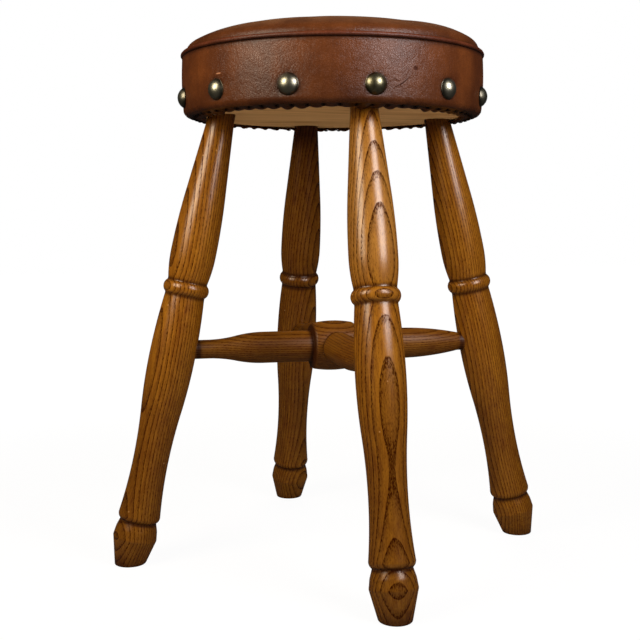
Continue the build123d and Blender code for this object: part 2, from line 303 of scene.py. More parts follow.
@dataclass(frozen=True)
class SaddleLeather:
    """Cowhide, vegetable tanned, dyed reddish brown and polished by use.

    Fine pebbled and wrinkled grain with soft broad lights, painted shade in its creases, blotched by
    wear, and matt and a little ochre where it has been sat on. An attribute paints shade and some
    soil onto it: under the piping, round the nails and tacks, on the hem and down the band.
    """

    name: str = "saddle_leather"
    light: str = "733e19"
    deep: str = "53290f"
    worn: str = "8d6240"
    # colour of painted shade and soil, also in the creases
    soil: str = "1c0a04"
    polish: str = WHITE
    dull: str = "4a3428"  # creases and marks hardly shine
    pebble: float = 2.0  # real grain is about 1 wide, drawn coarser to show
    wrinkle: float = 12.0
    blotch: float = 38.0
    pull: tuple[float, float, float] = (420.0, 420.0, 26.0)  # lines drawn up the band, to a metre
    worn_from: float = 562.0
    worn_to: float = 577.0
    relief_depth: float = 0.32
    relief_strength: float = 0.32
    roughness: float = 0.37
    worn_roughness: float = 0.55
    specular: float = 0.43
    marks: tuple[Mark, ...] = ()

    def material(self) -> bpy.types.Material:
        """Build the finish from Object coordinates and an attribute of painted shade and soil."""
        made, tree, shader = new_material(self.name)
        node = partial(add_node, tree)
        place = node("TexCoord").outputs["Object"]
        soil = node("Attribute", attribute_name="soil").outputs["Fac"]

        fine = 1 / (self.pebble * MM)
        twist = node("TexNoise", {"Vector": place, "Scale": fine * 0.6, "Detail": 2.0}).outputs["Color"]
        swing = (0.9 * self.pebble * MM,) * 3
        twisted = node("VectorMath", {0: twist, 1: swing, 2: place}, operation="MULTIPLY_ADD")
        pebbles = node("TexVoronoi", {"Vector": twisted, "Scale": fine}, feature="DISTANCE_TO_EDGE")
        crease = node("MapRange", {0: pebbles, 1: 0.0, 2: 0.22}, **SOFT)
        coarse = {"Vector": place, "Scale": 1 / (self.wrinkle * MM), "Detail": 2.5, "Roughness": 0.6}
        from_fold = node("Math", {0: node("TexNoise", coarse), 1: 0.5}, operation="SUBTRACT")
        beside_fold = node("Math", {0: from_fold}, operation="ABSOLUTE")
        smooth = node("MapRange", {0: beside_fold, 2: 0.09, 3: 0.5, 4: 1.0}, **SOFT)
        surface = node("Math", {0: crease, 1: smooth}, operation="MULTIPLY")
        pulled = node("VectorMath", {0: place, 1: self.pull}, operation="MULTIPLY")
        drawn = node("TexNoise", {"Vector": pulled, "Scale": 1.0, "Detail": 3.0})
        blotches = node("TexNoise", {"Vector": place, "Scale": 1 / (self.blotch * MM), "Detail": 5.0})

        mixed = node("Math", {0: drawn, 1: 0.2, 2: blotches}, operation="MULTIPLY_ADD")
        tone = node("MapRange", {0: mixed, 1: 0.42, 2: 0.8})
        hide = node("Mix", {0: tone, 6: self.deep, 7: self.light}, **COLOUR)
        height = node("SeparateXYZ", {0: place}).outputs[2]
        sat_on = node("MapRange", {0: height, 1: self.worn_from * MM, 2: self.worn_to * MM}, **SOFT)
        patchy = node("MapRange", {0: tone, 3: 0.3, 4: 0.95})
        rubbed = node("Math", {0: sat_on, 1: patchy}, operation="MULTIPLY")
        faded = node("Mix", {0: rubbed, 6: hide, 7: self.worn}, **COLOUR)
        matt = node("MapRange", {0: sat_on, 3: self.roughness, 4: self.worn_roughness})
        # painted shade in the creases of the grain
        sunk = node("MapRange", {0: surface, 3: 0.24, 4: 0.0})
        colour = node("Mix", {0: sunk, 6: faded, 7: self.soil}, **COLOUR)
        unlit = node("MapRange", {0: surface, 3: 0.5, 4: 0.0})
        gloss = node("Mix", {0: unlit, 6: self.polish, 7: self.dull}, **COLOUR)
        for mark in self.marks:
            cover = self.cover(tree, place, mark)
            colour = node("Mix", {0: cover, 6: colour, 7: mark.colour}, **COLOUR)
            gloss = node("Mix", {0: cover, 6: gloss, 7: self.dull}, **COLOUR)
        # painted shade and soil from the attribute
        soiled_and_shaded = node("Mix", {0: soil, 6: colour, 7: self.soil}, **COLOUR)
        grained = node("Math", {0: drawn, 1: 0.4, 2: surface}, operation="MULTIPLY_ADD")
        relief = node("Math", {0: smooth, 1: 1.7, 2: grained}, operation="MULTIPLY_ADD")
        raised = {"Height": relief, "Strength": self.relief_strength, "Distance": self.relief_depth * MM}
        feed(tree, shader, {"Base Color": soiled_and_shaded, "Normal": node("Bump", raised), "Specular Tint": gloss})
        feed(tree, shader, {"Roughness": matt, "Specular IOR Level": self.specular})
        return made

    def cover(
        self, tree: bpy.types.NodeTree, place: bpy.types.NodeSocket, mark: Mark
    ) -> bpy.types.Node:
        """How far one soft-edged oval mark covers the band.

        Args:
            tree: the leather's node tree.
            place: Object coordinates.
            mark: the mark to paint.

        Returns:
            A node that gives the mark's strength in its middle, and zero outside it.
        """
        turned = math.radians(mark.angle)
        outer = Seat.band_outer() * MM
        mapping = {
            "Vector": place,
            "Location": (outer * math.cos(turned), outer * math.sin(turned), mark.height * MM),
            "Rotation": (math.radians(mark.tilt), 0.0, turned),
            "Scale": (mark.width * MM, mark.width * MM, mark.tall * MM),
        }
        mapped = add_node(tree, "Mapping", mapping, vector_type="TEXTURE")
        away = add_node(tree, "VectorMath", {0: mapped}, operation="LENGTH")
        return add_node(tree, "MapRange", {0: away, 1: 0.25, 2: 0.55, 3: mark.strength, 4: 0.0}, **SOFT)


@dataclass(frozen=True)
class AntiqueBrass:
    """Brass sheet, pressed to a dome, lacquered and tarnished.

    Bright sharp lights on an olive metal, freckled with age, and darkened towards its rim by tarnish
    and by a painted reflection of the dark surroundings. Where the lacquer has paled, the metal is
    nearly silver.
    """

    bright: str = "8d8868"
    tarnish: str = "676244"
    # colour towards the rim: tarnish and a painted dark reflection
    rim: str = "2c220c"
    paled: str = "b3b1a0"
    freckle: float = 3.2
    roughness: float = 0.33
    tarnish_roughness: float = 0.39
    lacquer: float = 0.6
    lacquer_roughness: float = 0.26

    def material(self) -> bpy.types.Material:
        """Build the finish.

        The rim attribute runs from the dome's middle to its edge, and pale says how far a nail
        has paled.
        """
        made, tree, shader = new_material("antique_brass")
        node = partial(add_node, tree)
        place = node("TexCoord").outputs["Object"]
        rim = node("Attribute", attribute_name="rim").outputs["Fac"]
        pale = node("Attribute", attribute_name="pale").outputs["Fac"]
        spots = node("TexNoise", {"Vector": place, "Scale": 1 / (self.freckle * MM), "Detail": 4.0})
        aged = node("ValToRGB", {0: spots}, stops=((0.38, self.tarnish), (0.62, self.bright)))
        silvery = node("Mix", {0: pale, 6: aged, 7: self.paled}, **COLOUR)
        # darker towards the rim: tarnish and a painted dark reflection
        edge = node("MapRange", {0: rim, 1: 0.72, 2: 1.0, 4: 0.85}, **SOFT)
        metal = node("Mix", {0: edge, 6: silvery, 7: self.rim}, **COLOUR)
        worn = node("MapRange", {0: spots, 1: 0.3, 2: 0.7, 3: self.tarnish_roughness, 4: self.roughness})
        feed(tree, shader, {"Base Color": metal, "Roughness": worn, "Metallic": 1.0})
        feed(tree, shader, {"Coat Weight": self.lacquer, "Coat Roughness": self.lacquer_roughness})
        return made


@dataclass(frozen=True)
class BarePine:
    """Pine board, planed and left bare underneath.

    Matt pale tan wood with long brown lines of grain and a few small knots.
    """

    name: str = "bare_pine"
    pale: str = "eebc7c"
    line: str = "b9824a"
    knot: str = "4b2c17"
    line_spacing: float = 7.0
    knot_spacing: float = 62.0
    relief_depth: float = 0.3
    relief_strength: float = 0.2
    roughness: float = 0.8
    specular: float = 0.05

    def material(self) -> bpy.types.Material:
        """Build the finish from Object coordinates, with the grain along X."""
        made, tree, shader = new_material(self.name)
        node = partial(add_node, tree)
        place = node("TexCoord").outputs["Object"]
        lines = 1000 / self.line_spacing
        drawn = node("VectorMath", {0: place, 1: (6.0, lines, lines)}, operation="MULTIPLY")
        rings = node("TexNoise", {"Vector": drawn, "Scale": 0.55, "Detail": 3.0, "Distortion": 0.6})
        folds = node("Math", {0: rings, 1: 7.0}, operation="MULTIPLY")
        season = node("Math", {0: folds, 1: 1.0}, operation="PINGPONG")
        line = node("MapRange", {0: season, 1: 0.55, 2: 1.0, 4: 0.75})
        wood = node("Mix", {0: line, 6: self.pale, 7: self.line}, **COLOUR)
        stretched = node("VectorMath", {0: place, 1: (0.6, 1.0, 0.0)}, operation="MULTIPLY")
        knots = node("TexVoronoi", {"Vector": stretched, "Scale": 1 / (self.knot_spacing * MM)})
        heart = node("MapRange", {0: knots, 1: 0.035, 2: 0.075, 3: 0.8, 4: 0.0}, **SOFT)
        knotted = node("Mix", {0: heart, 6: wood, 7: self.knot}, **COLOUR)
        raised = {"Height": season, "Strength": self.relief_strength, "Distance": self.relief_depth * MM}
        feed(tree, shader, {"Base Color": knotted, "Normal": node("Bump", raised)})
        feed(tree, shader, {"Roughness": self.roughness, "Specular IOR Level": self.specular})
        return made


@dataclass(frozen=True)
class BluedSteel:
    """Cut tacks of steel, blued by heat: dark, satin, with a little rust."""

    steel: str = "2a2b30"
    rust: str = "3a2013"
    spot: float = 1.6
    metallic: float = 0.9
    roughness: float = 0.42

    def material(self) -> bpy.types.Material:
        """Build the finish from Object coordinates."""
        made, tree, shader = new_material("blued_steel")
        node = partial(add_node, tree)
        place = node("TexCoord").outputs["Object"]
        spots = node("TexNoise", {"Vector": place, "Scale": 1 / (self.spot * MM), "Detail": 3.0})
        colour = node("ValToRGB", {0: spots}, stops=((0.45, self.steel), (0.65, self.rust)))
        feed(tree, shader, {"Base Color": colour, "Metallic": self.metallic, "Roughness": self.roughness})
        return made


def tangent_arc(start: Pair, end: Pair, heading: Pair, count: int = 40) -> np.ndarray:
    """Points on the arc that leaves one point in a given direction and ends at another.

    The circle's centre lies on the normal to the heading at the start, at the chord squared over
    twice the chord's share along that normal, and the arc turns by twice the chord's angle.

    Args:
        start: first point, as radius and height.
        end: last point.
        heading: unit direction at the start.
        count: number of points.

    Returns:
        The points, one to a row.
    """
    begin = np.array(start, float)
    chord = np.array(end, float) - begin
    ahead = np.array(heading, float)
    normal = np.array([-ahead[1], ahead[0]])
    radius = chord @ chord / (2 * chord @ normal)
    centre = begin + radius * normal
    first = math.atan2(*(begin - centre)[::-1])
    turn = 2 * math.atan2(chord @ normal, chord @ ahead)
    angles = first + np.linspace(0, turn, count)
    return centre + abs(radius) * np.column_stack([np.cos(angles), np.sin(angles)])


def ogee(start: Pair, end: Pair, heading: Pair) -> np.ndarray:
    """Points on two equal arcs that leave and arrive along the same heading."""
    middle = ((start[0] + end[0]) / 2, (start[1] + end[1]) / 2)
    back = (-heading[0], -heading[1])
    return np.vstack([tangent_arc(start, middle, heading), tangent_arc(end, middle, back)[::-1]])


def measure(outline: np.ndarray) -> tuple[np.ndarray, np.ndarray]:
    """Distances along an outline, and its points, without points that repeat."""
    lengths = np.r_[0, np.cumsum(np.linalg.norm(np.diff(outline, axis=0), axis=1))]
    keep = np.r_[True, np.diff(lengths) > 1e-9]
    return lengths[keep], outline[keep]


def sample(places: np.ndarray, lengths: np.ndarray, outline: np.ndarray) -> np.ndarray:
    """Points of an outline at the given places along it, one to a row."""
    return np.column_stack([np.interp(places, lengths, outline[:, k]) for k in range(2)])


def soften(outline: np.ndarray, step: float, blur: float) -> np.ndarray:
    """Round the corners of an outline as sanding does.

    The outline is cut into equal steps along its length, and each point becomes the mean of its
    neighbours under a bell curve. Both ends stay where they are.

    Args:
        outline: points of the outline, one to a row.
        step: distance between the new points.
        blur: width of the bell curve.

    Returns:
        The softened points.
    """
    lengths, corners = measure(outline)
    places = np.linspace(0, lengths[-1], int(lengths[-1] / step) + 1)
    half = int(3 * blur / step) + 1
    weights = np.exp(-0.5 * (np.arange(-half, half + 1) * step / blur) ** 2)
    weights /= weights.sum()
    even = sample(places, lengths, corners)
    padded = np.pad(even, ((half, half), (0, 0)), mode="reflect", reflect_type="odd")
    return np.column_stack([np.convolve(padded[:, k], weights, mode="valid") for k in range(2)])


def spread_rings(outline: np.ndarray, count: int, bend_weight: float = 6.0) -> np.ndarray:
    """Pick rings along an outline, closer together where it bends.

    Each step from one ring to the next has an equal share of the length plus the turning.

    Args:
        outline: evenly spaced points, one to a row.
        count: number of rings.
        bend_weight: millimetres of length that one radian of turning counts as.

    Returns:
        The chosen points.
    """
    steps = np.diff(outline, axis=0)
    headings = np.unwrap(np.arctan2(steps[:, 1], steps[:, 0]))
    bends = np.r_[0, np.abs(np.diff(headings))]
    total = np.r_[0, np.cumsum(np.linalg.norm(steps, axis=1) + bend_weight * bends)]
    return sample(np.linspace(0, total[-1], count), total, outline)


def turns(count: int) -> np.ndarray:
    """Angles of evenly spaced places round a full turn."""
    return np.linspace(0, 2 * math.pi, count, endpoint=False)


def from_nearest(angle: np.ndarray, count: int) -> np.ndarray:
    """Angle from the nearest of evenly spaced places round a full turn."""
    gap = 2 * math.pi / count
    return (angle + gap / 2) % gap - gap / 2


def around(radius: np.ndarray, angle: np.ndarray, height: np.ndarray) -> np.ndarray:
    """Points at a radius and an angle about the stool's axis, and at a height."""
    return np.stack([radius * np.cos(angle), radius * np.sin(angle), height], -1)


def bell(gap: np.ndarray, width: float) -> np.ndarray:
    """Bell curve: exp(-(gap / width)^2)."""
    return np.exp(-((gap / width) ** 2))


def bumps(places: np.ndarray, centres: tuple[float, ...], width: float) -> np.ndarray:
    """Sum of bell curves of one width at several centres, at most one."""
    return np.clip(bell(places[..., None] - np.array(centres), width).sum(-1), 0, 1)


def waves(
    rng: np.random.Generator, angle: np.ndarray, sizes: tuple[Pair, ...], lag: np.ndarray | float = 0.0
) -> np.ndarray:
    """Sum of sine waves round the seat, each with a random start.

    Args:
        rng: source of the starts.
        angle: angles round the seat.
        sizes: for each wave, how often it comes round and its height.
        lag: angle that is added to every wave.

    Returns:
        The sum at each angle.
    """
    return sum(size * np.sin(count * angle + rng.uniform(0, 6.28) + lag) for count, size in sizes)


def ring_faces(rows: int, columns: int) -> np.ndarray:
    """Quads of a grid whose columns close on themselves.

    Args:
        rows: points along the grid.
        columns: points round each ring.

    Returns:
        Four vertex numbers to a row, wound so that a ring that runs anticlockwise about the
        direction of the rows faces outward.
    """
    row, column = np.meshgrid(np.arange(rows - 1), np.arange(columns), indexing="ij")
    here = row * columns + column
    beside = row * columns + (column + 1) % columns
    return np.stack([here, beside, beside + columns, here + columns], -1).reshape(-1, 4)


def close_rings(
    rings: np.ndarray, first: np.ndarray, last: np.ndarray, flip: bool = False
) -> tuple[np.ndarray, list]:
    """Close a stack of rings with a point at each end.

    Args:
        rings: points by ring and by angle.
        first: point that closes the first ring.
        last: point that closes the last ring.
        flip: whether the faces are wound the other way.

    Returns:
        All points, one to a row, and all faces.
    """
    rows, columns = rings.shape[:2]
    points = np.vstack([rings.reshape(-1, 3), first, last])
    here = np.arange(columns)
    beside = (here + 1) % columns
    base = (rows - 1) * columns
    end = np.full(columns, rows * columns)
    first_fan = np.column_stack([beside, here, end])
    last_fan = np.column_stack([base + here, base + beside, end + 1])
    quads, fans = ring_faces(rows, columns), np.vstack([first_fan, last_fan])
    if flip:
        quads, fans = quads[:, ::-1], fans[:, [1, 0, 2]]
    return points, quads.tolist() + fans.tolist()


def new_piece(
    name: str, points: np.ndarray, faces: list, material: bpy.types.Material, **attributes: np.ndarray
) -> bpy.types.Object:
    """Make a smooth-shaded piece that rides on the stool.

    Args:
        name: the piece's name.
        points: corners in millimetres, one to a row.
        faces: vertex numbers of each face.
        material: its finish.
        attributes: values at the corners, numbers or vectors, that the finish reads.

    Returns:
        The new object, at the origin.
    """
    mesh = bpy.data.meshes.new(name)
    mesh.from_pydata((points * MM).tolist(), [], faces)
    mesh.polygons.foreach_set("use_smooth", np.ones(len(mesh.polygons), bool))
    for label, values in attributes.items():
        kind, key = ("FLOAT_VECTOR", "vector") if values.ndim == 2 else ("FLOAT", "value")
        layer = mesh.attributes.new(label, kind, "POINT")
        layer.data.foreach_set(key, values.astype(np.float32).ravel())
    mesh.materials.append(material)
    mesh.update()
    piece = bpy.data.objects.new(name, mesh)
    bpy.context.scene.collection.objects.link(piece)
    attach(piece, BODY)
    log.info("%s: %d faces", name, len(mesh.polygons))
    return piece


@dataclass
class Grain:
    """How a turned piece was cut from its plank.

    The ring direction turns from one angle at the low end of the piece to another at its high
    end. The rings slope along the piece, and below a knee they slope more. start moves the rings
    across the piece, and a high density draws them together. The darkening of the whole piece,
    from zero to one, is painted shade where the seat's shadow falls on it. The darkening that grows
    towards its foot is mostly painted shade and partly dirt, and below zero it is a paling. fade is
    how much paler its upper part is.
    """

    turn_low: float
    turn_high: float
    slope: float
    start: float
    knee: float = 0.0
    knee_slope: float = 0.0
    density: float = 1.0
    # painted shade over the whole piece
    darkening: float = 0.0
    fade: float = 0.0
    # darker towards the foot: mostly painted shade, partly dirt
    low_shade: float = 0.44


@dataclass
class Turning:
    """A turned piece: an outline of radius and height spun about a line."""

    name: str
    origin: np.ndarray
    along: np.ndarray
    across: np.ndarray
    grain: Grain
    columns: int = 96

    def spin(self, heights: np.ndarray, radii: np.ndarray, angles: np.ndarray) -> np.ndarray:
        """Points at the given heights along the line, and radii and angles round it."""
        side = np.cross(self.along, self.across)
        outward = np.cos(angles)[..., None] * self.across + np.sin(angles)[..., None] * side
        return self.origin + heights[..., None] * self.along + radii[..., None] * outward

    def fibres(self, points: np.ndarray, low: float, high: float) -> np.ndarray:
        """Place of each point in its plank.

        Args:
            points: corners of the piece, one to a row.
            low: height where the ring direction is turn_low.
            high: height where it is turn_high.

        Returns:
            Distances across the rings, along them and along the fibre, one row to a point.
        """
        grain = self.grain
        local = points - self.origin
        height = local @ self.along
        share = np.clip((height - low) / (high - low), 0, 1)
        turn = np.radians(grain.turn_low + share * (grain.turn_high - grain.turn_low))
        x, y = local @ self.across, local @ np.cross(self.along, self.across)
        rise = grain.slope * height + grain.knee_slope * np.maximum(grain.knee - height, 0)
        across = x * np.cos(turn) + y * np.sin(turn) + rise - grain.start
        beside = y * np.cos(turn) - x * np.sin(turn)
        return np.column_stack([across * grain.density, beside * grain.density, height])


@dataclass
class Legs:
    """Four splayed turned legs, wedged through the seat board.

    The turning is given as radius and height along the leg, and each darkening as its strength
    from zero to one and the height over which it fades: dirt in the grooves and near the floor,
    painted shade just under the board, and mostly painted shade towards the foot.
    """

    finish: bpy.types.Material
    splay: float = 12.47
    foot: Pair = (16.5, 0.0)
    foot_swell: Pair = (24.0, 30.0)
    foot_bulge: Pair = (22.6, 40.0)
    groove: Pair = (19.8, 49.0)
    collar_lip: Pair = (22.2, 52.0)
    collar: Pair = (23.0, 55.0)
    waist: Pair = (19.3, 117.0)
    belly: Pair = (25.0, 232.0)
    low_neck: Pair = (21.7, 301.0)
    bead_low: Pair = (21.7, 303.0)
    bead: Pair = (25.0, 310.0)
    bead_high: Pair = (21.7, 317.0)
    high_neck: Pair = (21.7, 319.0)
    swell: Pair = (24.6, 349.0)
    taper: Pair = (21.3, 420.0)
    tenon_radius: float = 14.4
    tenon_reveal: float = 1.0
    sole_round: float = 1.5
    cut_zone: float = 12.0  # height below which rings lean over to meet the floor
    edge_step: float = 0.25
    edge_softness: float = 0.45
    rings: int = 380
    fade_from: float = 300.0
    fade_over: float = 60.0
    line_stain: Pair = (0.75, 2.2)
    # darkening just under the board, where the seat's shadow falls: painted shade
    board_shade: Pair = (0.55, 26.0)
    sole_stain: Pair = (0.35, 14.0)
    low_shade_height: float = 260.0
    grains: dict[LegPlace, Grain] = field(
        default_factory=lambda: {
            # the whole-leg darkening of the right and back legs is painted shade of the seat, and so is most
            # of the darkening towards each foot
            LegPlace.RIGHT: Grain(170.0, 180.0, -0.006, 3.0, density=1.4, darkening=0.06, low_shade=0.24),
            LegPlace.BACK: Grain(222.0, 236.0, -0.036, 1.0, density=1.2, darkening=0.45, low_shade=-0.14),
            LegPlace.LEFT: Grain(22.0, 12.0, -0.012, 1.5, density=1.25),
            LegPlace.FRONT: Grain(-7.0, 13.0, -0.036, 0.95, knee=300.0, knee_slope=0.009, fade=0.18),
        }
    )

    def along(self, level: float) -> float:
        """Height along the leg at which its tenon's outer side comes up to a level."""
        lean = math.radians(self.splay)
        return (level - self.tenon_radius * math.sin(lean)) / math.cos(lean)

    def tenon_start(self) -> float:
        """Height along the leg at which the tenon starts, just under the board."""
        return self.along(reach("seat_board", Axis.Z, End.LOW)) - self.tenon_reveal

    def outline(self) -> np.ndarray:
        """Outline of a leg from its sole to the top of its tenon, as radius and height."""
        top = self.along(reach("seat_board", Axis.Z, End.HIGH))
        up, down = (0.0, 1.0), (0.0, -1.0)
        bead_side = (self.bead[0] - self.bead_low[0], self.bead[1] - self.bead_low[1])
        bead_curve = (bead_side[0] ** 2 + bead_side[1] ** 2) / (2 * bead_side[0])
        bead_angles = np.linspace(-1, 1, 40) * math.asin(bead_side[1] / bead_curve)
        bead_radii = self.bead[0] - bead_curve * (1 - np.cos(bead_angles))
        bead_heights = self.bead[1] + bead_curve * np.sin(bead_angles)
        half_way = (np.array(self.waist) + np.array(self.belly)) / 2
        return np.vstack(
            [
                [self.foot, self.foot_swell, self.foot_bulge, self.groove, self.collar_lip],
                tangent_arc(self.waist, self.collar, down)[::-1],
                tangent_arc(self.waist, half_way, up),
                tangent_arc(self.belly, half_way, down)[::-1],
                tangent_arc(self.belly, self.low_neck, up),
                np.column_stack([bead_radii, bead_heights]),
                [self.high_neck],
                tangent_arc(self.swell, self.high_neck, down)[::-1],
                tangent_arc(self.swell, self.taper, up),
                [(self.tenon_radius, self.tenon_start()), (self.tenon_radius, top)],
            ]
        )

    def build(self) -> None:
        """Make the legs."""
        outline = spread_rings(soften(self.outline(), self.edge_step, self.edge_softness), self.rings)
        for place in LegPlace:
            self.build_leg(place, outline)

    def build_leg(self, place: LegPlace, outline: np.ndarray) -> None:
        """Make one leg.

        The lowest stretch is a straight flare. Its rings lean from level with the floor to square
        with the leg: a ring point at height s goes to s0 + (s / zone) (zone - s0), where s0 is the
        height at which the flare meets the floor at that angle. A quadratic curve rounds the sole.

        Args:
            place: where the leg stands.
            outline: radius and height of each ring.
        """
        name = place.name.lower()
        lean, turn = math.radians(self.splay), math.radians(place.value)
        outward = np.array([math.cos(turn), math.sin(turn), 0.0])
        leg = Turning(
            name=f"leg_{name}",
            origin=outward * mount_radius(f"foot_{name}"),
            along=UP * math.cos(lean) - outward * math.sin(lean),
            across=outward * math.cos(lean) + UP * math.sin(lean),
            grain=self.grains[place],
        )
        angles = turns(leg.columns)
        flare = (self.foot_swell[0] - self.foot[0]) / self.foot_swell[1]
        tilt = np.cos(angles) * math.sin(lean)
        floor = -self.foot[0] * tilt / (math.cos(lean) + flare * tilt)

        heights = np.repeat(outline[:, 1:], leg.columns, axis=1)
        radii = np.repeat(outline[:, :1], leg.columns, axis=1)
        low = heights < self.cut_zone
        start = floor + self.sole_round
        leaned = start + heights / self.cut_zone * (self.cut_zone - start)
        heights = np.where(low, leaned, heights)
        radii = np.where(low, self.foot[0] + flare * heights, radii)
        wall = leg.spin(heights, radii, np.broadcast_to(angles, heights.shape))

        corner = leg.spin(floor, self.foot[0] + flare * floor, angles)
        inset = corner - leg.origin
        sole = corner - inset * self.sole_round / np.linalg.norm(inset, axis=1, keepdims=True)
        t = np.linspace(0, 1, 5)[:-1, None, None]
        edge = (1 - t) ** 2 * sole + 2 * t * (1 - t) * corner + t**2 * wall[0]
        middle = leg.origin + (sole - leg.origin) * np.array([0.3, 0.65])[:, None, None]
        top = leg.origin + outline[-1, 1] * leg.along
        points, faces = close_rings(np.vstack([middle, edge, wall]), leg.origin, top)

        height = (points - leg.origin) @ leg.along
        lines = (self.groove[1], self.bead_low[1] - 1, self.bead_high[1] + 1)
        (line, width), (board, under), (base, over) = self.line_stain, self.board_shade, self.sole_stain
        # darkening for the finish: painted shade over the whole leg, dirt along the groove and the bead,
        # painted shade just under the board, dirt near the floor, and mostly painted shade towards the foot
        hollow = leg.grain.darkening - leg.grain.fade * np.clip((height - self.fade_from) / self.fade_over, 0, 1)
        hollow += line * bumps(height, lines, width)
        hollow += board * np.clip((height - self.tenon_start() + under) / under, 0, 1) ** 1.5
        hollow += base * np.clip(1 - height / over, 0, 1)
        hollow += leg.grain.low_shade * np.clip(1 - height / self.low_shade_height, 0, 1) ** 0.6
        grain = leg.fibres(points, 0, outline[-1, 1])
        hollow = np.clip(hollow, -1, 0.85)
        piece = new_piece(f"turned_{leg.name}", points, faces, self.finish, grain=grain, hollow=hollow)
        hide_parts(leg.name, f"wedge_{name}")


@dataclass
class Stretchers:
    """A long stretcher with a barrel hub, and two short ones let into the hub's sides."""

    finish: bpy.types.Material
    low: float = reach("long_stretcher", Axis.Z, End.LOW)
    high: float = reach("long_stretcher", Axis.Z, End.HIGH)
    tip: float = reach("long_stretcher", Axis.X, End.HIGH)
    arm_radius: float = 17.5
    neck_radius: float = 10.4
    left_arm: float = 80.0
    right_arm: float = 82.0
    short_arm: float = 80.0
    left_neck: float = 142.3
    right_neck: float = 150.8
    hub_radius: float = 28.1
    hub_end_radius: float = 25.4
    hub_half_length: float = 25.5
    hub_end_round: float = 5.0
    hub_seat: float = 21.6
    edge_step: float = 0.2
    edge_softness: float = 0.5
    line_stain: Pair = (0.7, 2.6)  # strength and width of the dirt along a joint
    rings: int = 300
    # both stretchers are painted darker all over: painted shade, as they stand in the seat's shadow
    long_grain: Grain = field(default_factory=lambda: Grain(4.0, 16.0, 0.006, 1.2, density=1.6, darkening=0.46))
    short_grain: Grain = field(default_factory=lambda: Grain(-30.0, -25.0, 0.02, 2.0, density=1.5, darkening=0.4))

    def hub(self) -> np.ndarray:
        """Outline of the hub: a shallow arc between two rounded ends, as radius and place."""
        bulge = self.hub_radius - self.hub_end_radius
        curve = (self.hub_half_length**2 + bulge**2) / (2 * bulge)
        flat = self.hub_half_length - self.hub_end_round * 0.9
        along = np.linspace(-flat, flat, 40)
        face = self.hub_radius - curve + np.sqrt(curve**2 - along**2)
        turn = np.linspace(0, math.pi / 2, 14)
        end_radii = face[-1] - self.hub_end_round + self.hub_end_round * np.cos(turn)
        end = np.column_stack([end_radii, flat + (self.hub_half_length - flat) * np.sin(turn)])
        start = end[::-1] * np.array([1, -1])
        return np.vstack([start, np.column_stack([face, along]), end])

    def build(self) -> None:
        """Make the three stretchers."""
        rising, falling = (0.0, 1.0), (0.0, -1.0)
        arm, neck, half = self.arm_radius, self.neck_radius, self.hub_half_length
        left = ogee((arm, -self.left_arm), (neck, -self.left_neck), falling)
        right = tangent_arc((arm, self.right_arm), (neck, self.right_neck), rising)
        short = ogee((arm, self.short_arm), (neck, self.left_neck), rising)
        first, last = [(neck, -self.tip)], [(neck, self.tip)]
        long_outline = np.vstack([first, left[::-1], [(arm, -half)], self.hub(), [(arm, half)], right, last])
        short_outline = np.vstack([[(arm, self.hub_seat)], short, last])
        joint = self.right_neck + 3
        long_lines = (-half - 1, half + 1, -joint, joint)
        self.build_stretcher("long_stretcher", 0, long_outline, self.long_grain, long_lines)
        for name, turn in (("front_stretcher", 270), ("back_stretcher", 90)):
            short_lines = (self.hub_radius - 2, joint)
            self.build_stretcher(name, turn, short_outline, self.short_grain, short_lines)

    def build_stretcher(
        self, name: str, turn: float, outline: np.ndarray, grain: Grain, lines: tuple[float, ...]
    ) -> None:
        """Make one stretcher.

        Args:
            name: the solid that it stands for.
            turn: its direction round the stool.
            outline: its radius and distance from the stool's middle.
            grain: how it was cut.
            lines: distances at which dirt has gathered.
        """
        angle = math.radians(turn)
        piece = Turning(
            name=name,
            origin=np.array([0.0, 0.0, (self.low + self.high) / 2]),
            along=np.array([math.cos(angle), math.sin(angle), 0.0]),
            across=UP,
            grain=grain,
        )
        chosen = spread_rings(soften(outline, self.edge_step, self.edge_softness), self.rings)
        radii, places = np.meshgrid(chosen[:, 0], turns(piece.columns), indexing="ij")
        rings = piece.spin(np.repeat(chosen[:, 1:], piece.columns, axis=1), radii, places)
        first, last = chosen[0, 1], chosen[-1, 1]
        ends = [piece.origin + place * piece.along for place in (first, last)]
        points, faces = close_rings(rings, *ends)
        dirt, width = self.line_stain
        joints = bumps((points - piece.origin) @ piece.along, lines, width)
        # painted shade over the whole stretcher, and dirt along its joints
        hollow = np.clip(grain.darkening + dirt * joints, 0, 0.9)
        fibres = piece.fibres(points, first, last)
        made = new_piece(f"turned_{name}", points, faces, self.finish, grain=fibres, hollow=hollow)
        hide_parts(name)


